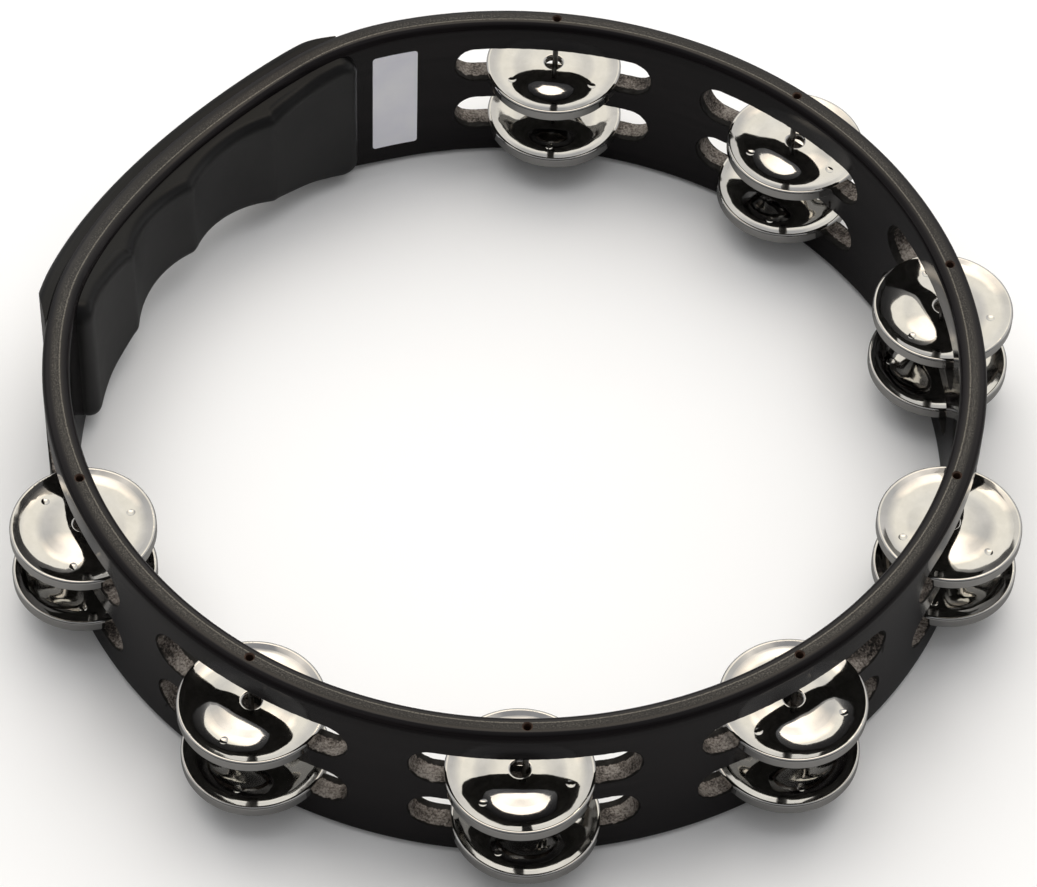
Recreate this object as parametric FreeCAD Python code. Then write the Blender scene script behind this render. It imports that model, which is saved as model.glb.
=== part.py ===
import FreeCAD, Part
import math
import os

from FreeCAD import Vector

# Headless tambourine, in millimetres. The ring's axis is parallel to Z, its bottom edge lies on
# z = 0, and the hand grip is on its -X side. Eight stations of two slots each carry sixteen loose
# steel jingles. Everything is drawn around the ring's axis and moved on export, so that the middle
# of the whole object's box, jingles and grip included, is over the origin.

# ---- Ring ---------------------------------------------------------------------------------------

AXIS_X = -3.2                   # the ring's axis in the exported frame
OUTER_RADIUS = 127.0            # a 10 inch ring
WALL = 7.35
HEIGHT = 53.5
EDGE_ROUND = 2.6                # round-over on the rims, leaving a flat land between

WAIST_DEPTH = 9.8               # how far each rim dips towards mid-height under the hand
WAIST_HALF_WIDTH = 75.0
WAIST_HOLLOW_SHARE = 0.65       # share of the dip's half width taken by its hollow arc

STATIONS = 8
STATION_STEP = 34.63            # degrees between stations; the grip takes the wider gap at -X

SLOT_HALF_LENGTH = 29.75        # straight across the outer face; the slot's ends are radial
SLOT_HEIGHT = 12.5
SLOT_FLOORS = {"lower": 11.0, "upper": 31.0}

PIN_RADIUS = 0.8
PIN_FOOT_Z = 5.0
PIN_HEAD_Z = 48.3
PIN_CHAMFER = 0.25
PIN_MOUTH_RADIUS = 1.05         # the wider drilled hole left above each pin
PIN_MOUTH_FLARE = 0.35          # its chamfer at the rim

# ---- Jingle -------------------------------------------------------------------------------------

JINGLE_RADIUS = 19.5
JINGLE_SHEET = 0.6
JINGLE_HOLE_RADIUS = 2.5
JINGLE_HOLE_Z = 3.95            # where the crown's slope would meet the hole if it were sharp
COLLAR_FOOT_Z = 1.7             # the hole's edge is drawn down this far above the skirt's lower edge
COLLAR_ROUND = 0.7
CROWN_CORNER = (6.5, 3.72)      # radius and height where the raised centre turns down
CROWN_ROUND = 26.0
DISH_CORNER = (14.1, 1.8)       # where the dish turns up into the brim
DISH_ROUND = 11.5
BRIM_CORNER_Z = 3.6             # where the brim's slope would meet the skirt if it were sharp
BRIM_ROUND = 0.7
LIP_ROUND = 0.28                # on the cut edges of the sheet
DIMPLES = 3
DIMPLE_CIRCLE = 13.4
DIMPLE_BALL = 3.0
DIMPLE_BALL_Z = 5.08            # centre of the ball that presses each dimple

LEAN_OUTWARD = 0.3              # how far each jingle hangs off its pin, away from the ring's middle
LEANS_SIDEWAYS = {              # and along the ring, counter-clockwise, station by station
    "lower": [-0.8, 1.0, 0.6, -1.2, 0.9, -0.7, 1.2, -0.4],
    "upper": [0.7, 0.4, -1.35, -0.5, -1.15, 0.8, -0.9, 0.4],
}
TURNS = {                       # degrees from the station's outward direction to the first dimple
    "lower": [69, 15, 87, 100, 35, 50, 80, 59],
    "upper": [60, 3, 74, 40, 98, 92, 25, 1],
}
REST_GAP = 0.1                  # under a jingle that lies in its slot

# ---- Grip ---------------------------------------------------------------------------------------

GRIP_END_ANGLE = 30.85          # inner grip, degrees each side of its middle
GRIP_MARGIN = 1.6               # from the shell's rim to the grip's, above and below
RIDGE_ANGLE = 15.9              # from the middle ridge to the other two
RIDGE_POINT_RADIUS = 112.3      # where neighbouring scallops would meet
RIDGE_ROUND = 4.0
SCALLOP_RADIUS = 115.2
GRIP_SHOULDER = 3.4
GRIP_CORNER = 5.0

PALM_RADIUS = 131.5             # outer face of the palm piece
PALM_MIDDLE = 181.5             # it sits a little off the middle of the finger face
PALM_FULL_ANGLE = 26.0          # degrees each side of its own middle where its ends begin to thin
PALM_END_ANGLE = 31.0
PALM_END_THICKNESS = 0.6
PALM_SHOULDER = 2.8
PALM_MARGIN = 1.8
PALM_BREAK_ROUND = 5.0          # where the full thickness turns into the thin end

SCREW_RADIUS = 1.5
SCREW_HEAD_RADIUS = 3.0
SCREW_HEAD_DEPTH = 1.5
SCREW_SINK = 0.8                # from the palm piece's face down to the screw heads
SCREW_REACH = 4.5               # length of screw inside the inner grip
SCREW_CLEARANCE = 0.2           # around the screws inside the shell
SCREW_CROSS = (3.2, 0.7, 0.8)   # length, width and depth of each slot of the cross recess

LABEL_START = 140.2
LABEL_END = 146.6
LABEL_FOOT_Z = 7.9
LABEL_TOP_Z = 45.9
LABEL_THICKNESS = 0.15
LABEL_CORNER = 1.0

# ---- Worked-out sizes ---------------------------------------------------------------------------

INNER_RADIUS = OUTER_RADIUS - WALL
PIN_CIRCLE = OUTER_RADIUS - WALL / 2
MID_HEIGHT = HEIGHT / 2
RIDGE_ANGLES = [180 - RIDGE_ANGLE, 180, 180 + RIDGE_ANGLE]
UP = Vector(0, 0, 1)
ORIGIN = Vector(0, 0, 0)
FAR = 2 * OUTER_RADIUS          # beyond everything that is cut


# ---- Helpers ------------------------------------------------------------------------------------

def polar(radius, degrees, z=0.0):
    angle = math.radians(degrees)
    return Vector(radius * math.cos(angle), radius * math.sin(angle), z)


def line(start, end):
    return Part.LineSegment(start, end).toShape()


def arc(start, middle, end):
    return Part.Arc(start, middle, end).toShape()


def closed_face(edges):
    return Part.Face(Part.Wire(Part.__sortEdges__(edges)))


def rounded_path(points, rounds):
    """A wire through the points, with an arc of the stated radius at each inner point."""
    edges = []
    start = points[0]
    for before, corner, after, radius in zip(points, points[1:], points[2:], rounds):
        back = (before - corner).normalize()
        ahead = (after - corner).normalize()
        half = back.getAngle(ahead) / 2
        run = radius / math.tan(half)
        first = corner + back * run
        last = corner + ahead * run
        middle = corner + (back + ahead).normalize() * (radius / math.sin(half) - radius)
        edges.append(line(start, first))
        edges.append(arc(first, middle, last))
        start = last
    edges.append(line(start, points[-1]))
    return Part.Wire(edges)


def ring_sector(inner, outer, low, high, start, end):
    """A block of the ring between two radii, two heights and two angles."""
    foot = Vector(0, 0, low)
    sector = Part.makeCylinder(outer, high - low, foot, UP, end - start)
    sector = sector.cut(Part.makeCylinder(inner, high - low, foot, UP, end - start))
    sector.rotate(ORIGIN, UP, start)
    return sector


def radial_rod(radius, start, end, degrees):
    """A cylinder that runs outwards at mid-height between two distances from the ring's axis."""
    return Part.makeCylinder(radius, end - start, polar(start, degrees, MID_HEIGHT), polar(1, degrees))


def above_the_waist(margin):
    """Everything above the dipped rim line over the hand, with the line lowered by the margin."""
    top = HEIGHT - margin
    bottom = top - WAIST_DEPTH
    turn = 2 * math.atan(WAIST_DEPTH / WAIST_HALF_WIDTH)
    both_arcs = WAIST_HALF_WIDTH / math.sin(turn)
    hollow = both_arcs * WAIST_HOLLOW_SHARE
    swell = both_arcs - hollow
    join = (hollow * math.sin(turn), bottom + hollow * (1 - math.cos(turn)))
    swell_middle = (
        WAIST_HALF_WIDTH - swell * math.sin(turn / 2),
        top - swell * (1 - math.cos(turn / 2)),
    )

    def spot(side, place):
        return Vector(-FAR, side * place[0], place[1])

    shoulder = (WAIST_HALF_WIDTH, top)
    edges = [arc(spot(-1, join), Vector(-FAR, 0, bottom), spot(1, join))]
    for side in (-1, 1):
        edges.append(arc(spot(side, join), spot(side, swell_middle), spot(side, shoulder)))
        edges.append(line(spot(side, shoulder), spot(side, (FAR, top))))
        edges.append(line(spot(side, (FAR, top)), spot(side, (FAR, top + HEIGHT))))
    edges.append(line(spot(-1, (FAR, top + HEIGHT)), spot(1, (FAR, top + HEIGHT))))
    return closed_face(edges).extrude(Vector(FAR, 0, 0))


def trim_to_waist(solid, margin):
    """Cut a solid along the dipped rim line at its top and along the mirrored line at its bottom."""
    cutter = above_the_waist(margin)
    return solid.cut(cutter).cut(cutter.mirror(Vector(0, 0, MID_HEIGHT), UP))


def follows_radius(edge, radius):
    """True when the whole edge lies at that distance from the ring's axis."""
    places = edge.discretize(7)
    return all(abs(math.hypot(place.x, place.y) - radius) < 0.05 for place in places)


def is_upright(edge):
    return edge.BoundBox.ZLength > HEIGHT / 2


def fillet_where(solid, radius, wanted):
    return solid.makeFillet(radius, [edge for edge in solid.Edges if wanted(edge)])


def export(shape, name):
    solids = shape.removeSplitter().Solids
    whole = solids[0] if len(solids) == 1 else Part.makeCompound(solids)
    whole.translate(Vector(AXIS_X, 0, 0))
    whole.exportStep("parts/" + name + ".step")


# ---- Shell --------------------------------------------------------------------------------------

def station_angle(index):
    return (index - (STATIONS - 1) / 2) * STATION_STEP


def slot_outline(x, floor):
    """The slot's stadium in the plane at this distance along the station's direction."""
    end_radius = SLOT_HEIGHT / 2
    straight = x * math.tan(math.asin(SLOT_HALF_LENGTH / OUTER_RADIUS)) - end_radius
    middle = floor + end_radius
    ceiling = floor + SLOT_HEIGHT
    edges = [
        line(Vector(x, -straight, floor), Vector(x, straight, floor)),
        line(Vector(x, -straight, ceiling), Vector(x, straight, ceiling)),
    ]
    for side in (-1, 1):
        edges.append(arc(
            Vector(x, side * straight, floor),
            Vector(x, side * (straight + end_radius), middle),
            Vector(x, side * straight, ceiling),
        ))
    return Part.Wire(Part.__sortEdges__(edges))


def slot_cutter(angle, floor):
    """A stadium-shaped bar that runs out through the wall at a station, widening as it goes."""
    start = slot_outline(INNER_RADIUS - WALL, floor)
    end = slot_outline(OUTER_RADIUS + WALL, floor)
    bar = Part.makeLoft([start, end], True, True)
    bar.rotate(ORIGIN, UP, angle)
    return bar


def pin_bar(angle):
    return Part.makeCylinder(PIN_RADIUS, PIN_HEAD_Z - PIN_FOOT_Z, polar(PIN_CIRCLE, angle, PIN_FOOT_Z))


def make_shell():
    shell = Part.makeCylinder(OUTER_RADIUS, HEIGHT).cut(Part.makeCylinder(INNER_RADIUS, HEIGHT))
    shell = trim_to_waist(shell, 0.0)

    def is_rim(edge):
        on_wall = follows_radius(edge, OUTER_RADIUS) or follows_radius(edge, INNER_RADIUS)
        return on_wall and not is_upright(edge)

    shell = fillet_where(shell, EDGE_ROUND, is_rim)
    for index in range(STATIONS):
        angle = station_angle(index)
        for floor in SLOT_FLOORS.values():
            shell = shell.cut(slot_cutter(angle, floor))
        mouth = polar(PIN_CIRCLE, angle, PIN_HEAD_Z)
        shell = shell.cut(pin_bar(angle))
        shell = shell.cut(Part.makeCylinder(PIN_MOUTH_RADIUS, HEIGHT, mouth))
        flare_foot = polar(PIN_CIRCLE, angle, HEIGHT - PIN_MOUTH_FLARE)
        flare_top_radius = PIN_MOUTH_RADIUS + PIN_MOUTH_FLARE
        shell = shell.cut(Part.makeCone(PIN_MOUTH_RADIUS, flare_top_radius, PIN_MOUTH_FLARE, flare_foot))
    for angle in RIDGE_ANGLES:
        bore = radial_rod(SCREW_RADIUS + SCREW_CLEARANCE, INNER_RADIUS - WALL, OUTER_RADIUS + WALL, angle)
        shell = shell.cut(bore)
    return shell


# ---- Pins and jingles ---------------------------------------------------------------------------

def make_pin(angle):
    pin = pin_bar(angle)
    return pin.makeChamfer(PIN_CHAMFER, [edge for edge in pin.Edges if not is_upright(edge)])


def make_jingle():
    """A pressed disc standing on its skirt, with its hole on the Z axis."""
    points = [
        Vector(JINGLE_HOLE_RADIUS, 0, COLLAR_FOOT_Z),
        Vector(JINGLE_HOLE_RADIUS, 0, JINGLE_HOLE_Z),
        Vector(CROWN_CORNER[0], 0, CROWN_CORNER[1]),
        Vector(DISH_CORNER[0], 0, DISH_CORNER[1]),
        Vector(JINGLE_RADIUS, 0, BRIM_CORNER_Z),
        Vector(JINGLE_RADIUS, 0, 0),
    ]
    top = rounded_path(points, [COLLAR_ROUND, CROWN_ROUND, DISH_ROUND, BRIM_ROUND])
    sheet = top.makeOffset2D(-JINGLE_SHEET, 0, True, True)
    disc = sheet.revolve(ORIGIN, UP, 360).Solids[0]

    def is_lip(edge):
        box = edge.BoundBox
        at_skirt = box.ZMax < LIP_ROUND
        at_collar_foot = box.ZMax < COLLAR_FOOT_Z + LIP_ROUND
        return box.ZLength < LIP_ROUND and (at_skirt or at_collar_foot)

    disc = fillet_where(disc, LIP_ROUND, is_lip)
    axis_foot = Vector(0, 0, 0)
    under_top = closed_face(top.Edges + [
        line(points[0], Vector(0, 0, COLLAR_FOOT_Z)),
        line(Vector(0, 0, COLLAR_FOOT_Z), axis_foot),
        line(axis_foot, points[-1]),
    ]).revolve(ORIGIN, UP, 360)
    for index in range(DIMPLES):
        centre = polar(DIMPLE_CIRCLE, index * 360 / DIMPLES, DIMPLE_BALL_Z)
        disc = disc.fuse(Part.makeSphere(DIMPLE_BALL + JINGLE_SHEET, centre).common(under_top))
        disc = disc.cut(Part.makeSphere(DIMPLE_BALL, centre))
    return disc.removeSplitter()


def place_jingle(disc, index, row):
    """A copy of the disc, lying in its slot as it might have come to rest there."""
    angle = station_angle(index)
    outward = polar(PIN_CIRCLE + LEAN_OUTWARD, angle, SLOT_FLOORS[row] + REST_GAP)
    sideways = polar(LEANS_SIDEWAYS[row][index], angle + 90)
    jingle = disc.copy()
    jingle.rotate(ORIGIN, UP, angle + TURNS[row][index])
    jingle.translate(outward + sideways)
    return jingle


# ---- Grip ---------------------------------------------------------------------------------------

def finger_face_edges():
    """Plan of the finger face: scallops that meet in ridges, from one end of the grip to the other."""
    edges = []
    for start, end in zip(RIDGE_ANGLES, RIDGE_ANGLES[1:]):
        first = polar(RIDGE_POINT_RADIUS, start)
        last = polar(RIDGE_POINT_RADIUS, end)
        edges.append(arc(first, polar(SCALLOP_RADIUS, (start + end) / 2), last))
    for ridge, side in ((RIDGE_ANGLES[0], -1), (RIDGE_ANGLES[-1], 1)):
        end = 180 + side * GRIP_END_ANGLE
        middle = polar(SCALLOP_RADIUS, (ridge + 2 * end) / 3)
        edges.append(arc(polar(RIDGE_POINT_RADIUS, ridge), middle, polar(SCALLOP_RADIUS, end)))
    return edges


def make_inner_grip():
    start = 180 - GRIP_END_ANGLE
    end = 180 + GRIP_END_ANGLE
    edges = finger_face_edges()
    edges.append(arc(polar(INNER_RADIUS, start), polar(INNER_RADIUS, 180), polar(INNER_RADIUS, end)))
    for side in (start, end):
        edges.append(line(polar(SCALLOP_RADIUS, side), polar(INNER_RADIUS, side)))
    grip = closed_face(edges).extrude(Vector(0, 0, HEIGHT))

    def is_ridge(edge):
        return is_upright(edge) and follows_radius(edge, RIDGE_POINT_RADIUS)

    def at_grip_end(place):
        degrees = math.degrees(math.atan2(place.y, place.x)) % 360
        return abs(abs(degrees - 180) - GRIP_END_ANGLE) < 0.1

    def is_end_corner(edge):
        return not is_upright(edge) and all(at_grip_end(place) for place in edge.discretize(3))

    def is_face_outline(edge):
        """Edges on the finger side that are not seams between two scallops or ridges."""
        if follows_radius(edge, INNER_RADIUS):
            return False
        middle = edge.discretize(3)[1]
        on_wall = any(follows_radius(edge, radius) for radius in (INNER_RADIUS, OUTER_RADIUS))
        radial = max(math.hypot(v.X, v.Y) for v in edge.Vertexes) > SCALLOP_RADIUS + 1
        if is_upright(edge):
            return at_grip_end(middle)
        return not on_wall and not radial

    grip = fillet_where(grip, RIDGE_ROUND, is_ridge)
    grip = trim_to_waist(grip, GRIP_MARGIN)
    grip = fillet_where(grip, GRIP_CORNER, is_end_corner)
    grip = fillet_where(grip, GRIP_SHOULDER, is_face_outline)
    for angle in RIDGE_ANGLES:
        grip = grip.cut(radial_rod(SCREW_RADIUS, INNER_RADIUS - SCREW_REACH, OUTER_RADIUS, angle))
    return grip


def make_outer_grip():
    start = PALM_MIDDLE - PALM_END_ANGLE
    end = PALM_MIDDLE + PALM_END_ANGLE
    full_start = PALM_MIDDLE - PALM_FULL_ANGLE
    full_end = PALM_MIDDLE + PALM_FULL_ANGLE
    tip = OUTER_RADIUS + PALM_END_THICKNESS
    crest = polar(PALM_RADIUS, PALM_MIDDLE)
    seat = polar(OUTER_RADIUS, PALM_MIDDLE)
    plan = closed_face([
        arc(polar(PALM_RADIUS, full_start), crest, polar(PALM_RADIUS, full_end)),
        line(polar(PALM_RADIUS, full_end), polar(tip, end)),
        line(polar(tip, end), polar(OUTER_RADIUS, end)),
        arc(polar(OUTER_RADIUS, end), seat, polar(OUTER_RADIUS, start)),
        line(polar(OUTER_RADIUS, start), polar(tip, start)),
        line(polar(tip, start), polar(PALM_RADIUS, full_start)),
    ]).extrude(Vector(0, 0, HEIGHT))

    def is_break(edge):
        return is_upright(edge) and follows_radius(edge, PALM_RADIUS)

    def is_shoulder(edge):
        return not is_upright(edge) and follows_radius(edge, PALM_RADIUS)

    plan = fillet_where(plan, PALM_BREAK_ROUND, is_break)
    cushion = ring_sector(OUTER_RADIUS, PALM_RADIUS, 0, HEIGHT, start, end)
    cushion = fillet_where(trim_to_waist(cushion, PALM_MARGIN), PALM_SHOULDER, is_shoulder)
    grip = cushion.common(plan)
    for angle in RIDGE_ANGLES:
        grip = grip.cut(screw_body(angle))
        grip = grip.cut(radial_rod(SCREW_HEAD_RADIUS, PALM_RADIUS - SCREW_SINK, PALM_RADIUS + WALL, angle))
    return grip


def screw_body(angle):
    """A countersunk screw without its recess, head outwards."""
    head_face = PALM_RADIUS - SCREW_SINK
    head_foot = head_face - SCREW_HEAD_DEPTH
    shank = radial_rod(SCREW_RADIUS, INNER_RADIUS - SCREW_REACH, head_foot, angle)
    foot = polar(head_foot, angle, MID_HEIGHT)
    head = Part.makeCone(SCREW_RADIUS, SCREW_HEAD_RADIUS, SCREW_HEAD_DEPTH, foot, polar(1, angle))
    return shank.fuse(head).removeSplitter()


def make_screw(angle):
    length, width, depth = SCREW_CROSS
    screw = screw_body(angle)
    for across, tall in ((length, width), (width, length)):
        bottom = Vector(PALM_RADIUS - SCREW_SINK - depth, -across / 2, MID_HEIGHT - tall / 2)
        groove = Part.makeBox(2 * depth, across, tall, bottom)
        groove.rotate(ORIGIN, UP, angle)
        screw = screw.cut(groove)
    return screw


def make_label():
    label = ring_sector(
        INNER_RADIUS - LABEL_THICKNESS, INNER_RADIUS, LABEL_FOOT_Z, LABEL_TOP_Z, LABEL_START, LABEL_END
    )
    return fillet_where(label, LABEL_CORNER, lambda edge: abs(edge.Length - LABEL_THICKNESS) < 0.01)


# ---- Build --------------------------------------------------------------------------------------

os.makedirs("parts", exist_ok=True)
export(make_shell(), "wooden_shell")
export(make_inner_grip(), "inner_grip")
export(make_outer_grip(), "outer_grip")
export(Part.makeCompound([make_screw(angle) for angle in RIDGE_ANGLES]), "grip_screws")
export(make_label(), "blank_label")

pressed_disc = make_jingle()
for station in range(STATIONS):
    export(make_pin(station_angle(station)), "jingle_pin_%d" % (station + 1))
    for row in SLOT_FLOORS:
        export(place_jingle(pressed_disc, station, row), "jingle_%d_%s" % (station + 1, row))
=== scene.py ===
import math

import bpy
from mathutils import Matrix, Vector, noise


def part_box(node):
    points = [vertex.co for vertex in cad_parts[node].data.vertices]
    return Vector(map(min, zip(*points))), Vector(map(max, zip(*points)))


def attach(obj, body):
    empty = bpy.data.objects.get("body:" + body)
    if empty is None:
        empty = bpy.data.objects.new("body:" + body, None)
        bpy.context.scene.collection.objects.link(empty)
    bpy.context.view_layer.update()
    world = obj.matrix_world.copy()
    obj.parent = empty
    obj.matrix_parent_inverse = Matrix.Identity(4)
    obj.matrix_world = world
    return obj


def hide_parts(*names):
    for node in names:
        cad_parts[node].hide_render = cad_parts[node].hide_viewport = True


# The looks of a black headless tambourine with nickel-plated jingles, in metres around the packed
# frame. The ring is rebuilt with rough routed slots; every other piece is the frame's own, refinished.

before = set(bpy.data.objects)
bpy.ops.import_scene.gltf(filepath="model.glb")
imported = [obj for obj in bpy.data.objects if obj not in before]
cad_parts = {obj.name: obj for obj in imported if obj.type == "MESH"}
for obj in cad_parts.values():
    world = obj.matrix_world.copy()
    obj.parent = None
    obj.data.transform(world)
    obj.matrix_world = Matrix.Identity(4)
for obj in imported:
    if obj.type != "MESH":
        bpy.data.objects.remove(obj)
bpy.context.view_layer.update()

MM = 0.001

# ---- Sizes of the ring, as in the frame's own shell ---------------------------------------------

shell_low, shell_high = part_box("wooden_shell")
AXIS_X = (shell_low[0] + shell_high[0]) / 2
HEIGHT = shell_high[2]
OUTER_RADIUS = shell_high[1]
WALL = 7.35 * MM
INNER_RADIUS = OUTER_RADIUS - WALL
MID_WALL = OUTER_RADIUS - WALL / 2
EDGE_ROUND = 2.6 * MM
WAIST_DEPTH = 9.8 * MM
WAIST_HALF_WIDTH = 75 * MM
WAIST_HOLLOW_SHARE = 0.65

STATIONS = 8
STATION_STEP = math.radians(34.63)
SLOT_HALF_LENGTH = 29.75 * MM
SLOT_HEIGHT = 12.5 * MM
SLOT_FLOORS = (11.0 * MM, 31.0 * MM)
MOUTH_CHAMFER = 0.3 * MM
PIN_HEAD_Z = 48.3 * MM
PIN_MOUTH_RADIUS = 1.05 * MM
PIN_MOUTH_FLARE = 0.35 * MM

# ---- How roughly the slots are routed -----------------------------------------------------------

WAVES = 0.10
TEARS = 0.16
FIBRES = 0.10
BARE_MIDDLE = MID_WALL + 0.8 * MM

# ---- How finely the ring is meshed --------------------------------------------------------------

RING_STEPS = 720
WALL_ROWS = 14
ROUND_STEPS = 8
LAND_STEPS = 3
SLOT_STEP = 0.55 * MM
SLOT_LAYERS = 16
MOUTH_SIDES = 32
SMOOTH_UP_TO = math.radians(38)

# How far the cutters reach past the surfaces they cut. A slot cutter's last cap is flat, so it
# stands further out, or its middle would fall short of the curved wall and leave slivers of it.
CUT_MARGIN = 1.0 * MM
CAP_MARGIN = 7.0 * MM


# ---- Mesh helpers -------------------------------------------------------------------------------

def new_piece(name, verts, faces):
    mesh = bpy.data.meshes.new(name)
    mesh.from_pydata(verts, [], faces)
    mesh.update()
    piece = bpy.data.objects.new(name, mesh)
    bpy.context.collection.objects.link(piece)
    return piece


def closed_tube_faces(rings, sides):
    """Quads between rings of points, each ring closed on itself."""
    faces = []
    for ring in range(rings - 1):
        for side in range(sides):
            after = (side + 1) % sides
            low, high = ring * sides, (ring + 1) * sides
            faces.append((low + side, low + after, high + after, high + side))
    return faces


def capped_tube(layers):
    """Vertices and faces of a closed solid through layers of equal point loops."""
    sides = len(layers[0])
    verts = [point for layer in layers for point in layer]
    faces = closed_tube_faces(len(layers), sides)
    faces.append(tuple(reversed(range(sides))))
    faces.append(tuple(range(len(verts) - sides, len(verts))))
    return verts, faces


def merge(parts):
    """Several (vertices, faces) lists as one."""
    verts, faces = [], []
    for part_verts, part_faces in parts:
        start = len(verts)
        verts.extend(part_verts)
        faces.extend(tuple(start + index for index in face) for face in part_faces)
    return verts, faces


# ---- Ring ---------------------------------------------------------------------------------------

def waist_dip(x, y):
    """How far the rim at this place dips towards mid-height under the hand."""
    reach = abs(y)
    if x > 0 or reach > WAIST_HALF_WIDTH:
        return 0.0
    turn = 2 * math.atan(WAIST_DEPTH / WAIST_HALF_WIDTH)
    both_arcs = WAIST_HALF_WIDTH / math.sin(turn)
    hollow = both_arcs * WAIST_HOLLOW_SHARE
    swell = both_arcs - hollow
    if reach < hollow * math.sin(turn):
        return WAIST_DEPTH - hollow + math.sqrt(hollow ** 2 - reach ** 2)
    return swell - math.sqrt(swell ** 2 - (WAIST_HALF_WIDTH - reach) ** 2)


def ring_section():
    """The wall's outline as radius and height, without the waist, counter-clockwise from outside."""
    walls = ((OUTER_RADIUS, 1), (INNER_RADIUS, -1))
    outline = []
    for radius, side in walls:
        centre = radius - side * EDGE_ROUND
        foot, head = (EDGE_ROUND, HEIGHT - EDGE_ROUND)[::side]
        for row in range(WALL_ROWS):
            outline.append((radius, foot + (head - foot) * row / WALL_ROWS))
        for step in range(ROUND_STEPS):
            turn = math.pi / 2 * step / ROUND_STEPS
            outline.append((
                centre + side * EDGE_ROUND * math.cos(turn),
                head + side * EDGE_ROUND * math.sin(turn),
            ))
        land = WALL - 2 * EDGE_ROUND
        for step in range(LAND_STEPS):
            outline.append((centre - side * land * step / LAND_STEPS, head + side * EDGE_ROUND))
        for step in range(ROUND_STEPS):
            turn = math.pi / 2 * (1 + step / ROUND_STEPS)
            outline.append((
                centre - side * land + side * EDGE_ROUND * math.cos(turn),
                head + side * EDGE_ROUND * math.sin(turn),
            ))
    return outline


def ring_mesh():
    """Vertices and faces of the ring without slots, its section swept round and waisted."""
    outline = ring_section()
    verts = []
    for step in range(RING_STEPS):
        angle = 2 * math.pi * step / RING_STEPS
        for radius, z in outline:
            x = radius * math.cos(angle)
            y = radius * math.sin(angle)
            squeeze = waist_dip(x, y) * (2 * z / HEIGHT - 1)
            verts.append((x, y, z - squeeze))
    sides = len(outline)
    faces = closed_tube_faces(RING_STEPS, sides)
    last = (RING_STEPS - 1) * sides
    for side in range(sides):
        after = (side + 1) % sides
        faces.append((last + side, last + after, after, side))
    return verts, faces


# ---- Slots and pin mouths cut into the ring -----------------------------------------------------

def slot_outline():
    """Points and outward directions of a slot's stadium in the outer face, along and up."""
    end = SLOT_HEIGHT / 2
    straight = SLOT_HALF_LENGTH - end
    run = 2 * straight
    bend = math.pi * end
    perimeter = 2 * (run + bend)
    count = round(perimeter / SLOT_STEP)
    points = []
    for index in range(count):
        travel = perimeter * index / count
        side = 1
        if travel >= run + bend:
            travel -= run + bend
            side = -1
        if travel < run:
            place, away = (straight - travel, end), (0.0, 1.0)
        else:
            turn = (travel - run) / end
            away = (-math.sin(turn), math.cos(turn))
            place = (-straight + end * away[0], end * away[1])
        points.append(((side * place[0], side * place[1]), (side * away[0], side * away[1])))
    return points


def routed_depth(place):
    """How much deeper than the drawn outline the router tore the wood at this place."""
    spot = Vector(place) / MM
    waves = WAVES * (1 + noise.noise(spot * 0.25))
    tears = TEARS * max(0.0, noise.noise(spot * 0.9) + 0.15)
    fibres = FIBRES * max(0.0, noise.noise(Vector((spot.x, spot.y, 2.2 * spot.z)) * 1.7))
    return (waves + tears + fibres) * MM


def slot_cutter(angle, floor, outline):
    """A solid along the slot's outline, from inside the ring to outside it, flared at both faces."""
    middle = floor + SLOT_HEIGHT / 2
    widest = CUT_MARGIN + MOUTH_CHAMFER
    chamfers = [(-CUT_MARGIN, widest), (0.0, MOUTH_CHAMFER), (MOUTH_CHAMFER, 0.0)]
    depths = [(INNER_RADIUS + depth, flare) for depth, flare in chamfers]
    for step in range(1, SLOT_LAYERS):
        depths.append((INNER_RADIUS + WALL * step / SLOT_LAYERS, 0.0))
    depths += [(OUTER_RADIUS - depth, flare) for depth, flare in reversed(chamfers)]
    depths.append((OUTER_RADIUS + CAP_MARGIN, widest))
    turn = Matrix.Rotation(angle, 3, "Z")
    layers = []
    for radius, flare in depths:
        layer = []
        for place, away in outline:
            seed_spot = turn @ Vector((radius, place[0], middle + place[1]))
            grow = flare + routed_depth(seed_spot)
            along = (place[0] + away[0] * grow) * radius / OUTER_RADIUS
            across = math.sqrt(radius ** 2 - along ** 2)
            layer.append(turn @ Vector((across, along, middle + place[1] + away[1] * grow)))
        layers.append(layer)
    return capped_tube(layers)


def mouth_cutter(angle):
    """The drilled hole over a pin, with its chamfer at the rim."""
    centre = Vector((MID_WALL * math.cos(angle), MID_WALL * math.sin(angle), 0))
    flare = PIN_MOUTH_RADIUS + PIN_MOUTH_FLARE
    stack = [
        (PIN_MOUTH_RADIUS, PIN_HEAD_Z),
        (PIN_MOUTH_RADIUS, HEIGHT - PIN_MOUTH_FLARE),
        (flare, HEIGHT),
        (flare + CUT_MARGIN, HEIGHT + CUT_MARGIN),
    ]
    layers = []
    for radius, z in stack:
        layer = []
        for side in range(MOUTH_SIDES):
            turn = 2 * math.pi * side / MOUTH_SIDES
            layer.append(centre + Vector((radius * math.cos(turn), radius * math.sin(turn), z)))
        layers.append(layer)
    return capped_tube(layers)


def face_outwards(piece):
    """Make every face of a closed piece look away from its inside."""
    bpy.context.view_layer.objects.active = piece
    piece.select_set(True)
    bpy.ops.object.mode_set(mode="EDIT")
    bpy.ops.mesh.select_all(action="SELECT")
    bpy.ops.mesh.normals_make_consistent(inside=False)
    bpy.ops.object.mode_set(mode="OBJECT")
    piece.select_set(False)


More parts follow.
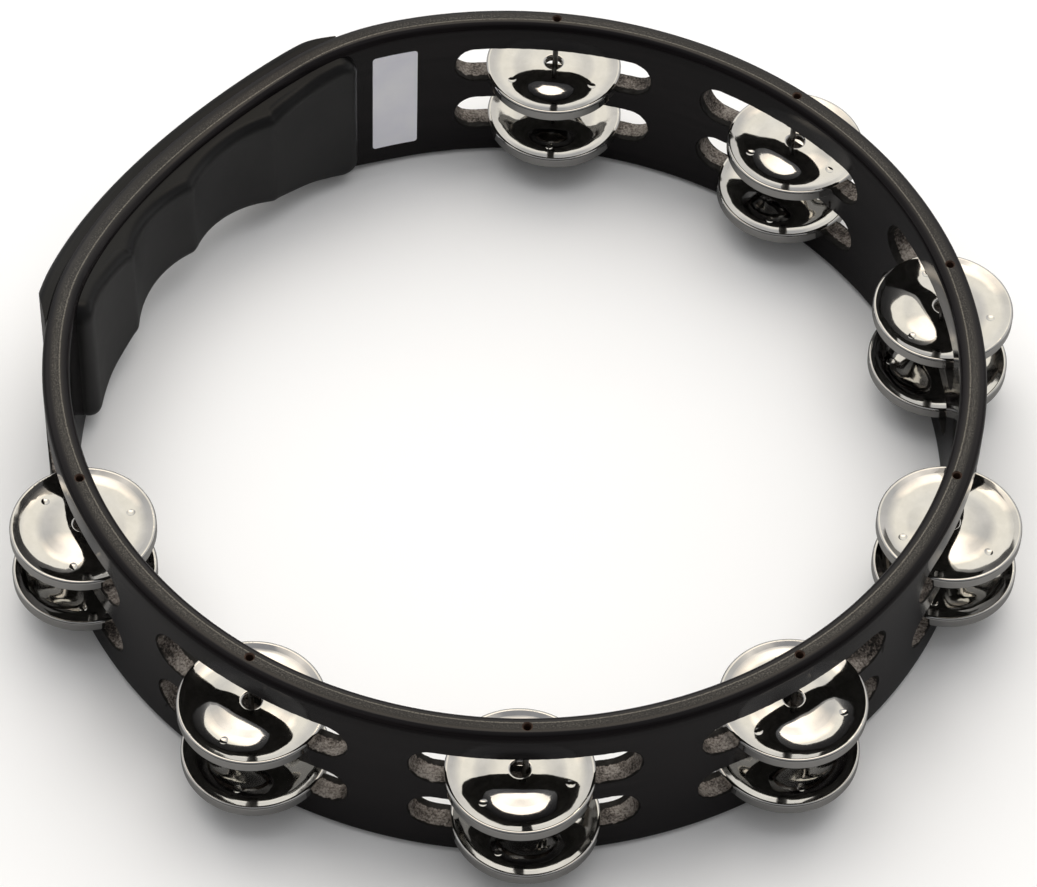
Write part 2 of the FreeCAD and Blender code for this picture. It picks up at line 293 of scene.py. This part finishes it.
def cut_away(piece, cutter):
    """Cut one closed piece out of another; the cut faces keep the cutter's material."""
    for part in (piece, cutter):
        face_outwards(part)
    cut = piece.modifiers.new("cut", "BOOLEAN")
    cut.operation = "DIFFERENCE"
    cut.solver = "MANIFOLD"
    cut.object = cutter
    bpy.context.view_layer.update()
    evaluated = piece.evaluated_get(bpy.context.evaluated_depsgraph_get())
    done = bpy.data.meshes.new_from_object(evaluated)
    piece.modifiers.clear()
    piece.data = done
    bpy.data.objects.remove(cutter)


def make_ring(lacquer, routed, drilled):
    """The whole lacquered ring with its slots and pin holes, in place of the frame's shell."""
    ring = new_piece("ring", *ring_mesh())
    for material in (lacquer, routed, drilled):
        ring.data.materials.append(material)
    outline = slot_outline()
    angles = [(index - (STATIONS - 1) / 2) * STATION_STEP for index in range(STATIONS)]
    slots = [slot_cutter(angle, floor, outline) for angle in angles for floor in SLOT_FLOORS]
    mouths = [mouth_cutter(angle) for angle in angles]
    for parts, material in ((slots, routed), (mouths, drilled)):
        cutter = new_piece("cutter", *merge(parts))
        cutter.data.materials.append(material)
        cut_away(ring, cutter)
    for polygon in ring.data.polygons:
        polygon.use_smooth = True
    ring.data.set_sharp_from_angle(angle=SMOOTH_UP_TO)
    ring.location.x = AXIS_X
    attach(ring, "shell")
    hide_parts("wooden_shell")


# ---- Node helpers -------------------------------------------------------------------------------

def add_node(tree, kind, inputs=None, **settings):
    """A new node with its settings; each input is a constant or another node's output."""
    node = tree.nodes.new("ShaderNode" + kind)
    for name, value in settings.items():
        setattr(node, name, value)
    for name, value in (inputs or {}).items():
        if isinstance(value, bpy.types.NodeSocket):
            tree.links.new(value, node.inputs[name])
        else:
            node.inputs[name].default_value = value
    return node


def new_finish(name, **constants):
    """A material, its node tree and its shader, with the shader's constant values set."""
    material = bpy.data.materials.new(name)
    material.use_nodes = True
    tree = material.node_tree
    shader = tree.nodes["Principled BSDF"]
    for socket, value in constants.items():
        shader.inputs[socket.replace("_", " ")].default_value = value
    return material, tree, shader


def object_place(tree):
    return add_node(tree, "TexCoord").outputs["Object"]


def math_node(tree, operation, first, second=0.0):
    return add_node(tree, "Math", {0: first, 1: second}, operation=operation).outputs[0]


def distance_from(tree, value, centre):
    return math_node(tree, "ABSOLUTE", math_node(tree, "SUBTRACT", value, centre))


def upward(tree):
    """How much the surface looks up: 1 on a floor, 0 on a wall, -1 on a ceiling."""
    normal = add_node(tree, "NewGeometry").outputs["Normal"]
    return add_node(tree, "SeparateXYZ", {0: normal}).outputs["Z"]


def facing_up(tree):
    """How nearly level the surface lies, from 0 on a wall to 1 on a flat top or bottom."""
    return math_node(tree, "ABSOLUTE", upward(tree))


def ring_place(tree):
    """The place in metres along the ring, out from its axis, and up."""
    parts = add_node(tree, "SeparateXYZ", {0: object_place(tree)})
    angle = math_node(tree, "ARCTAN2", parts.outputs["Y"], parts.outputs["X"])
    along = math_node(tree, "MULTIPLY", angle, MID_WALL)
    flat = add_node(tree, "CombineXYZ", {"X": parts.outputs["X"], "Y": parts.outputs["Y"]})
    out = add_node(tree, "VectorMath", {0: flat.outputs[0]}, operation="LENGTH").outputs["Value"]
    return add_node(tree, "CombineXYZ", {"X": along, "Y": out, "Z": parts.outputs["Z"]}).outputs[0]


def stretched(tree, place, scales):
    return add_node(tree, "VectorMath", {0: place, 1: scales}, operation="MULTIPLY").outputs[0]


def clouds(tree, place, scale, detail=2.0, roughness=0.5, distortion=0.0):
    inputs = {"Scale": scale, "Detail": detail, "Roughness": roughness, "Distortion": distortion}
    return add_node(tree, "TexNoise", {"Vector": place, **inputs}).outputs["Fac"]


def spread(tree, value, low, high, start=0.3, end=0.7):
    """Map a pattern's middle range onto the range from low to high."""
    inputs = {"Value": value, "From Min": start, "From Max": end, "To Min": low, "To Max": high}
    return add_node(tree, "MapRange", inputs).outputs["Result"]


def tones(tree, value, stops):
    """A colour for each value of a pattern, from (position, red, green, blue) stops."""
    node = add_node(tree, "ValToRGB", {"Fac": value})
    ramp = node.color_ramp
    while len(ramp.elements) < len(stops):
        ramp.elements.new(0.5)
    for element, (position, *colour) in zip(ramp.elements, stops):
        element.position = position
        element.color = (*colour, 1.0)
    return node.outputs["Color"]


def mixed(tree, share, first, second):
    """The first colour, giving way to the second by the share."""
    return add_node(tree, "MixRGB", {"Fac": share, "Color1": first, "Color2": second}).outputs[0]


def bump(tree, height, distance, below=None):
    inputs = {"Height": height, "Distance": distance, "Strength": 1.0}
    if below is not None:
        inputs["Normal"] = below
    return add_node(tree, "Bump", inputs).outputs["Normal"]


def join(tree, shader, **sources):
    for socket, source in sources.items():
        tree.links.new(source, shader.inputs[socket.replace("_", " ")])


# ---- Materials ----------------------------------------------------------------------------------

def black_lacquer():
    """Black lacquer over bent wood, rougher on the flat of both rims, where a patchy lighter colour
    is a painted highlight, with a thin pale painted highlight line along their inner edge."""
    material, tree, shader = new_finish("black_lacquer_finish", IOR=1.5)
    place = ring_place(tree)
    out = add_node(tree, "SeparateXYZ", {0: place}).outputs["Y"]
    level = facing_up(tree)
    grain = clouds(tree, stretched(tree, place, (14, 700, 700)), 1.0, 4.0, 0.6)
    lines = clouds(tree, stretched(tree, place, (90, 3000, 3000)), 1.0, 3.0, 0.6)
    scratches = clouds(tree, stretched(tree, place, (2000, 2600, 2600)), 1.0, 2.0, 0.7)
    dust = clouds(tree, place, 1500.0, 2.0, 0.6)
    patches = clouds(tree, place, 45.0, 3.0, 0.5)

    wall = tones(tree, grain, [(0.35, 0.0044, 0.0036, 0.0040), (0.7, 0.0105, 0.0088, 0.0092)])
    # Painted highlight: a lighter, grainy brown-grey colour for the flat top of the rims.
    land_painted_highlight = tones(tree, scratches, [
        (0.36, 0.004, 0.004, 0.004),
        (0.52, 0.026, 0.023, 0.020),
        (0.66, 0.095, 0.086, 0.073),
    ])
    land = spread(tree, distance_from(tree, out, MID_WALL), 1.0, 0.0, 0.2 * MM, 1.5 * MM)
    land = math_node(tree, "MULTIPLY", land, spread(tree, level, 0.0, 1.0, 0.93, 0.99))
    # The painted highlight on the flat comes and goes in broad patches along the ring.
    uneven_highlight = clouds(tree, place, 14.0, 2.0, 0.5)
    land = math_node(tree, "MULTIPLY", land, spread(tree, uneven_highlight, 0.35, 1.0, 0.38, 0.6))
    colour = mixed(tree, land, wall, land_painted_highlight)
    # Painted highlight: a thin pale line along the inner edge of the rim's top.
    off_edge = distance_from(tree, out, INNER_RADIUS + EDGE_ROUND)
    painted_edge_highlight = spread(tree, off_edge, 1.0, 0.0, 0.0, 0.28 * MM)
    painted_edge_highlight = math_node(tree, "MULTIPLY", painted_edge_highlight, spread(tree, level, 0.0, 1.0, 0.9, 0.97))
    painted_edge_highlight = math_node(tree, "MULTIPLY", painted_edge_highlight, spread(tree, scratches, 0.15, 0.75, 0.35, 0.55))
    colour = mixed(tree, painted_edge_highlight, colour, (0.22, 0.20, 0.165, 1.0))

    sanded_gloss = math_node(tree, "MULTIPLY", land, 0.22)
    gloss = math_node(tree, "ADD", spread(tree, patches, 0.06, 0.13), sanded_gloss)
    turning = math_node(tree, "MULTIPLY", level, math_node(tree, "SUBTRACT", 1.0, level))
    shine = spread(tree, turning, 0.42, 0.18, 0.0, 0.2)
    skin = bump(tree, patches, 0.08 * MM)
    skin = bump(tree, lines, 0.014 * MM, skin)
    skin = bump(tree, dust, 0.003 * MM, skin)
    join(tree, shader, Base_Color=colour, Roughness=gloss, Specular_IOR_Level=shine, Normal=skin)
    return material


def routed_wood():
    """Torn wood in the slots: bare in the middle of the wall, black with overspray near its faces;
    the slots' ceilings are darkened as painted shade."""
    material, tree, shader = new_finish("routed_wood_finish", IOR=1.45)
    place = ring_place(tree)
    out = add_node(tree, "SeparateXYZ", {0: place}).outputs["Y"]
    fibres = clouds(tree, stretched(tree, place, (1900, 1900, 3200)), 1.0, 4.0, 0.7)
    pits = clouds(tree, place, 1500.0, 3.0, 0.6, 0.3)
    waves = clouds(tree, place, 420.0, 3.0, 0.6, 0.3)
    ragged = spread(tree, waves, -0.35 * MM, 0.35 * MM)
    overspray = math_node(tree, "ADD", distance_from(tree, out, BARE_MIDDLE), ragged)
    overspray = spread(tree, overspray, 0.0, 0.6, 0.31 * WALL, 0.37 * WALL)
    # Painted shade: faces that look down, the slots' ceilings, are darkened towards black, with a
    # ragged border.
    ceiling_painted_shade = math_node(tree, "ADD", upward(tree), spread(tree, waves, -0.2, 0.2))
    ceiling_painted_shade = spread(tree, ceiling_painted_shade, 0.6, 0.0, -0.35, 0.05)
    worn = clouds(tree, place, 130.0, 2.0, 0.5)
    bare = math_node(tree, "ADD", spread(tree, pits, 0.24, 0.66), spread(tree, fibres, -0.12, 0.12))
    bare = math_node(tree, "ADD", bare, spread(tree, worn, -0.18, 0.12, 0.35, 0.6))
    bare = math_node(tree, "SUBTRACT", math_node(tree, "SUBTRACT", bare, overspray), ceiling_painted_shade)
    colour = tones(tree, bare, [
        (0.16, 0.006, 0.005, 0.004),
        (0.30, 0.050, 0.040, 0.034),
        (0.46, 0.155, 0.132, 0.114),
        (0.66, 0.310, 0.280, 0.250),
    ])
    skin = bump(tree, fibres, 0.12 * MM)
    skin = bump(tree, pits, 0.16 * MM, skin)
    join(tree, shader, Base_Color=colour, Roughness=spread(tree, waves, 0.5, 0.85), Normal=skin)
    return material


def drilled_wood():
    """Bare brown wood inside the holes over the pins."""
    material, tree, shader = new_finish("drilled_wood_finish", IOR=1.45)
    place = ring_place(tree)
    fibres = clouds(tree, stretched(tree, place, (600, 600, 1800)), 1.0, 4.0, 0.7)
    colour = tones(tree, fibres, [(0.35, 0.022, 0.011, 0.007), (0.7, 0.080, 0.045, 0.030)])
    join(tree, shader, Base_Color=colour, Roughness=spread(tree, fibres, 0.5, 0.8))
    join(tree, shader, Normal=bump(tree, fibres, 0.2 * MM))
    return material


def black_plastic():
    """Satin black moulded plastic of the two grips, with painted light and shade: greyer on its
    upright faces, near black on its level tops.
    """
    material, tree, shader = new_finish("black_plastic_finish", IOR=1.5)
    place = object_place(tree)
    level = facing_up(tree)
    pores = clouds(tree, place, 2200.0, 2.0, 0.5)
    handling = clouds(tree, place, 60.0, 4.0, 0.55)
    # Painted light and shade: upright faces get a greyer colour, level tops a near-black one.
    upright_painted_light = tones(tree, handling, [(0.35, 0.0130, 0.0130, 0.0132), (0.7, 0.0205, 0.0200, 0.0200)])
    level_painted_shade = tones(tree, handling, [(0.35, 0.0022, 0.0022, 0.0024), (0.7, 0.0040, 0.0038, 0.0040)])
    colour = mixed(tree, spread(tree, level, 0.0, 1.0, 0.15, 0.8), upright_painted_light, level_painted_shade)
    gloss = spread(tree, handling, 0.28, 0.36)
    shine = spread(tree, level, 0.7, 0.24, 0.35, 0.9)
    skin = bump(tree, handling, 0.12 * MM)
    skin = bump(tree, pores, 0.012 * MM, skin)
    join(tree, shader, Base_Color=colour, Roughness=gloss, Specular_IOR_Level=shine, Normal=skin)
    return material


def bright_nickel():
    """Pressed and plated sheet: slightly wavy, with faint polishing haze."""
    material, tree, shader = new_finish("bright_nickel_finish", Metallic=1.0)
    place = object_place(tree)
    waves = clouds(tree, place, 120.0, 1.5, 0.4)
    haze = clouds(tree, place, 260.0, 4.0, 0.6)
    dust = clouds(tree, place, 3000.0, 2.0, 0.6)
    colour = tones(tree, haze, [(0.3, 0.75, 0.74, 0.715), (0.7, 0.82, 0.81, 0.79)])
    gloss = spread(tree, haze, 0.035, 0.085)
    skin = bump(tree, waves, 0.16 * MM)
    skin = bump(tree, dust, 0.0006 * MM, skin)
    join(tree, shader, Base_Color=colour, Roughness=gloss, Normal=skin)
    return material


def plain_steel(name, dark, light, low_gloss, high_gloss):
    """Drawn or turned steel with fine marks and slight tarnish."""
    material, tree, shader = new_finish(name, Metallic=1.0)
    place = object_place(tree)
    tarnish = clouds(tree, place, 700.0, 4.0, 0.6)
    marks = clouds(tree, stretched(tree, place, (400, 400, 5000)), 1.0, 2.0, 0.5)
    colour = tones(tree, tarnish, [(0.3, *dark), (0.7, *light)])
    join(tree, shader, Base_Color=colour, Roughness=spread(tree, tarnish, low_gloss, high_gloss))
    join(tree, shader, Normal=bump(tree, marks, 0.01 * MM))
    return material


def blank_paper():
    """The empty sticker: coated paper with a faint cool tint."""
    material, tree, shader = new_finish("blank_paper_finish", IOR=1.45)
    place = object_place(tree)
    fibres = clouds(tree, place, 900.0, 5.0, 0.65)
    blotches = clouds(tree, place, 90.0, 3.0, 0.5)
    colour = tones(tree, blotches, [(0.3, 0.86, 0.86, 0.93), (0.7, 0.92, 0.92, 0.96)])
    gloss = spread(tree, fibres, 0.42, 0.6)
    join(tree, shader, Base_Color=colour, Roughness=gloss, Normal=bump(tree, fibres, 0.02 * MM))
    return material


# ---- Finish the frame's own nodes ---------------------------------------------------------------

def refinish(finishes):
    """Put each finish on the material slots of its name, on every node of the frame."""
    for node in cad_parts:
        piece = bpy.data.objects[node]
        for material_slot in piece.material_slots:
            name = material_slot.material.name.split(".")[0]
            material_slot.material = finishes[name]


finishes = {
    "black_lacquer": black_lacquer(),
    "black_plastic": black_plastic(),
    "bright_nickel": bright_nickel(),
    "pin_steel": plain_steel("pin_steel_finish", (0.16, 0.15, 0.14), (0.34, 0.33, 0.31), 0.2, 0.42),
    "dark_steel": plain_steel("dark_steel_finish", (0.05, 0.05, 0.05), (0.12, 0.12, 0.12), 0.3, 0.5),
    "white_label": blank_paper(),
}
refinish(finishes)
make_ring(finishes["black_lacquer"], routed_wood(), drilled_wood())

# ---- Camera, floor and studio -------------------------------------------------------------------

CAMERA_PLACE = Vector((0.4302, -0.6204, 0.9673))
CAMERA_FORWARD = Vector((-0.3545, 0.5100, -0.7837))
CAMERA_ROLL = math.radians(2.392)
CAMERA_LENS = 153.2
SENSOR_WIDTH = 36.0

BEHIND = Vector((-0.571, 0.821, 0.0))
BESIDE = Vector((0.821, 0.571, 0.0))
ROOM_STRENGTH = 2.0
KEY_PLACE = Vector((-0.45, 0.6, 1.6))
KEY_SIZE = 2.6
KEY_POWER = 34.0
FILL_PLACE = Vector((1.2, -1.2, 2.0))
FILL_SIZE = 3.0
FILL_POWER = 14.0
FLOOR_HALF = 4.0
FLOOR_GAP = 0.2 * MM
FLOOR_LAYER = 0.1 * MM
SEEN_FLOOR_TONE = 0.9
MIRRORED_FLOOR_TONE = 0.20
FLOOR_MOTTLE = 0.01


def make_camera():
    data = bpy.data.cameras.new("camera")
    data.lens = CAMERA_LENS
    data.sensor_width = SENSOR_WIDTH
    camera = bpy.data.objects.new("camera", data)
    bpy.context.collection.objects.link(camera)
    turn = CAMERA_FORWARD.to_track_quat("-Z", "Y").to_matrix().to_4x4()
    roll = Matrix.Rotation(CAMERA_ROLL, 4, "Z")
    camera.matrix_world = Matrix.Translation(CAMERA_PLACE) @ turn @ roll
    bpy.context.scene.camera = camera


def make_lamp(name, place, size, power):
    """A large soft lamp; the room itself is what shines in the metal."""
    data = bpy.data.lights.new(name, "AREA")
    data.shape = "SQUARE"
    data.size = size
    data.energy = power
    lamp = bpy.data.objects.new(name, data)
    bpy.context.collection.objects.link(lamp)
    lamp.location = place
    lamp.rotation_euler = (-place).to_track_quat("-Z", "Y").to_euler()
    lamp.visible_glossy = False


def arch_stop(degrees, *colour):
    """A colour stop at an angle up from the horizon behind the ring, over the top and down."""
    return (0.5 + degrees / 360, *colour)


def make_room():
    """A grey studio lit from an arch over the ring: dim at the horizon, bright just short of
    overhead, dark on the camera's side."""
    world = bpy.data.worlds.new("room")
    bpy.context.scene.world = world
    world.use_nodes = True
    tree = world.node_tree
    background = tree.nodes["Background"]
    background.inputs["Strength"].default_value = ROOM_STRENGTH
    direction = add_node(tree, "TexCoord").outputs["Generated"]
    direction = add_node(tree, "VectorMath", {0: direction}, operation="NORMALIZE").outputs[0]
    behind, beside, up = (
        add_node(tree, "VectorMath", {0: direction, 1: axis}, operation="DOT_PRODUCT").outputs["Value"]
        for axis in (BEHIND, BESIDE, Vector((0, 0, 1)))
    )
    arch = math_node(tree, "ARCTAN2", up, behind)
    arch = spread(tree, arch, 0.0, 1.0, -math.pi, math.pi)
    middle = tones(tree, arch, [arch_stop(*stop) for stop in (
        (-90, 0.09, 0.09, 0.09),
        (-4, 0.12, 0.12, 0.12),
        (2, 0.18, 0.18, 0.185),
        (12, 0.21, 0.21, 0.21),
        (22, 0.46, 0.445, 0.41),
        (58, 0.50, 0.475, 0.42),
        (65, 0.86, 0.76, 0.63),
        (81, 0.90, 0.82, 0.72),
        (90, 0.15, 0.15, 0.155),
        (122, 0.12, 0.12, 0.125),
        (138, 0.04, 0.04, 0.04),
        (172, 0.04, 0.04, 0.04),
    )])
    sides = tones(tree, arch, [arch_stop(*stop) for stop in (
        (-90, 0.09, 0.09, 0.09),
        (-4, 0.12, 0.12, 0.12),
        (2, 0.18, 0.18, 0.185),
        (18, 0.24, 0.24, 0.24),
        (40, 0.32, 0.31, 0.30),
        (80, 0.22, 0.22, 0.22),
        (122, 0.16, 0.16, 0.16),
        (138, 0.04, 0.04, 0.04),
        (172, 0.04, 0.04, 0.04),
    )])
    aside = spread(tree, math_node(tree, "ABSOLUTE", beside), 0.0, 1.0, 0.18, 0.52)
    tree.links.new(mixed(tree, aside, middle, sides), background.inputs["Color"])


def make_floor(name, z, tone):
    """A flat, faintly mottled sheet under the ring."""
    corners = [(x * FLOOR_HALF, y * FLOOR_HALF, z) for x, y in ((-1, -1), (1, -1), (1, 1), (-1, 1))]
    floor = new_piece(name, corners, [(0, 1, 2, 3)])
    material, tree, shader = new_finish(name + "_finish")
    mottle = clouds(tree, object_place(tree), 6.0, 3.0, 0.5)
    low, high = tone - FLOOR_MOTTLE, tone + FLOOR_MOTTLE
    colour = tones(tree, mottle, [(0.3, low, low, low), (0.7, high, high, high)])
    join(tree, shader, Base_Color=colour)
    shader.inputs["Roughness"].default_value = 0.9
    floor.data.materials.append(material)
    return floor


make_camera()
make_lamp("key", KEY_PLACE, KEY_SIZE, KEY_POWER)
make_lamp("fill", FILL_PLACE, FILL_SIZE, FILL_POWER)
make_room()

# The camera and the light meet a pale floor. The metal and the lacquer mirror a darker one, whose
# darker tone is painted shade.
floor = make_floor("floor", -FLOOR_GAP - FLOOR_LAYER, SEEN_FLOOR_TONE)
floor.visible_glossy = False
mirrored_floor = make_floor("floor_in_reflections", -FLOOR_GAP, MIRRORED_FLOOR_TONE)
mirrored_floor.visible_camera = False
mirrored_floor.visible_diffuse = False
mirrored_floor.visible_transmission = False
mirrored_floor.visible_shadow = False

bpy.context.scene.view_settings.view_transform = "Standard"
